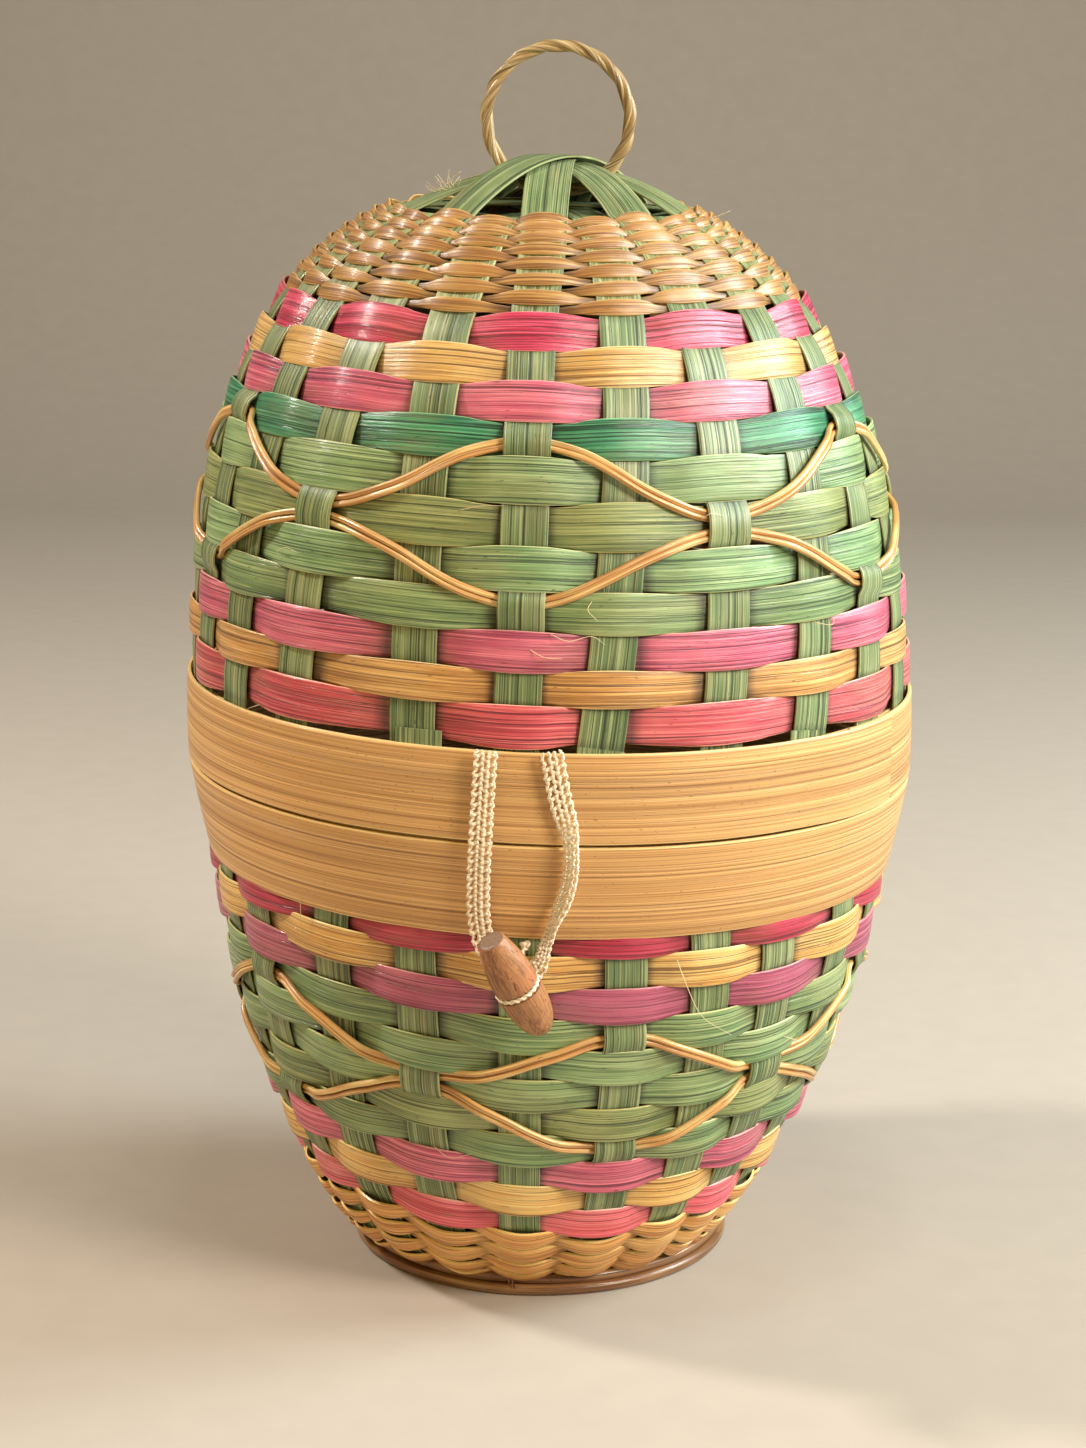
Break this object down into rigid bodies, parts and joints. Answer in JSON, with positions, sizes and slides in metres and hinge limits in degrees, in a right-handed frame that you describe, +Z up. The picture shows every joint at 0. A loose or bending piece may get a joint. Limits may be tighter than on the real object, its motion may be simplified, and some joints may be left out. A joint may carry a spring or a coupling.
{
  "type": "wicker egg basket with hinged lid",
  "caption": "Egg-shaped woven splint basket: lid hinged at the back, ring handle on top, toggle and loop closure at the front, ring foot.",
  "frame": {"origin": "bottom centre of the box that holds the basket without its closure loop, under the foot ring", "axes": "+Z up through the ring handle, -Y towards the toggle closure, +X to the right seen from the front"},
  "size_m": [0.2506, 0.2803, 0.4176],
  "materials": {
    "stake_green": "dyed splint, satin",
    "weaver_green": "dyed splint, satin",
    "weaver_leaf": "dyed splint, satin",
    "weaver_olive": "dyed splint, satin",
    "weaver_teal": "dyed splint, satin",
    "weaver_crimson": "dyed splint, satin",
    "weaver_yellow": "dyed splint, satin",
    "weaver_pink": "dyed splint, satin",
    "weaver_ochre": "dyed splint, satin",
    "weaver_coral": "dyed splint, satin",
    "reed_natural": "natural round reed",
    "band_bamboo": "bamboo-like splint with long fibres",
    "weave_tan": "narrow natural strands",
    "foot_brown": "varnished brown rod",
    "rattan_gold": "twisted golden rattan",
    "toggle_wood": "turned and oiled brown wood",
    "cord_cream": "cream braided cord"
  },
  "bodies": {
    "base": {"base_band": "band_bamboo", "base_floor_star": "stake_green", "base_foot_weave": "weave_tan", "base_inner_band": "band_bamboo", "base_reed_lower": "reed_natural", "base_reed_upper": "reed_natural", "base_row_01": "weaver_crimson", "base_row_02": "weaver_yellow", "base_row_03": "weaver_pink", "base_row_04": "weaver_green", "base_row_05": "weaver_leaf", "base_row_06": "weaver_green", "base_row_07": "weaver_olive", "base_row_08": "weaver_green", "base_row_09": "weaver_pink", "base_row_10": "weaver_yellow", "base_row_11": "weaver_coral", "base_strip_1": "stake_green", "base_strip_2": "stake_green", "base_strip_3": "stake_green", "base_strip_4": "stake_green", "base_strip_5": "stake_green", "base_strip_6": "stake_green", "foot_ring": "foot_brown", "hinge_tie_1": "cord_cream", "hinge_tie_2": "cord_cream", "toggle_cord": "cord_cream"},
    "lid": {"lid_band": "band_bamboo", "lid_crown_weave": "weave_tan", "lid_inner_band": "band_bamboo", "lid_reed_lower": "reed_natural", "lid_reed_upper": "reed_natural", "lid_row_01": "weaver_coral", "lid_row_02": "weaver_ochre", "lid_row_03": "weaver_pink", "lid_row_04": "weaver_green", "lid_row_05": "weaver_green", "lid_row_06": "weaver_olive", "lid_row_07": "weaver_leaf", "lid_row_08": "weaver_teal", "lid_row_09": "weaver_pink", "lid_row_10": "weaver_yellow", "lid_row_11": "weaver_crimson", "lid_top_strip_1": "stake_green", "lid_top_strip_2": "stake_green", "lid_top_strip_3": "stake_green", "lid_top_strip_4": "stake_green", "lid_top_strip_5": "stake_green", "lid_under_strip_1": "stake_green", "lid_under_strip_2": "stake_green", "lid_under_strip_3": "stake_green", "lid_under_strip_4": "stake_green", "lid_under_strip_5": "stake_green", "lid_under_strip_6": "stake_green", "lid_under_strip_7": "stake_green", "closure_loop": "cord_cream"},
    "handle": {"handle_ring": "rattan_gold"},
    "toggle": {"toggle": "toggle_wood", "toggle_band": "cord_cream"}
  },
  "joints": [
    {"name": "lid_hinge", "type": "hinge", "parent": "base", "child": "lid", "pos_m": [0, 0.12601, 0.175], "axis": [-1, 0, 0], "range_deg": [0, 110], "deforming": ["closure_loop"]},
    {"name": "handle_swing", "type": "hinge", "parent": "lid", "child": "handle", "pos_m": [0, 0, 0.37796], "axis": [0.9979, -0.0654, 0], "range_deg": [-22, 22]},
    {"name": "toggle_turn", "type": "hinge", "parent": "base", "child": "toggle", "pos_m": [-0.0075, -0.13153, 0.1318], "axis": [0, -1, 0], "range_deg": [-60, 60]}
  ]
}
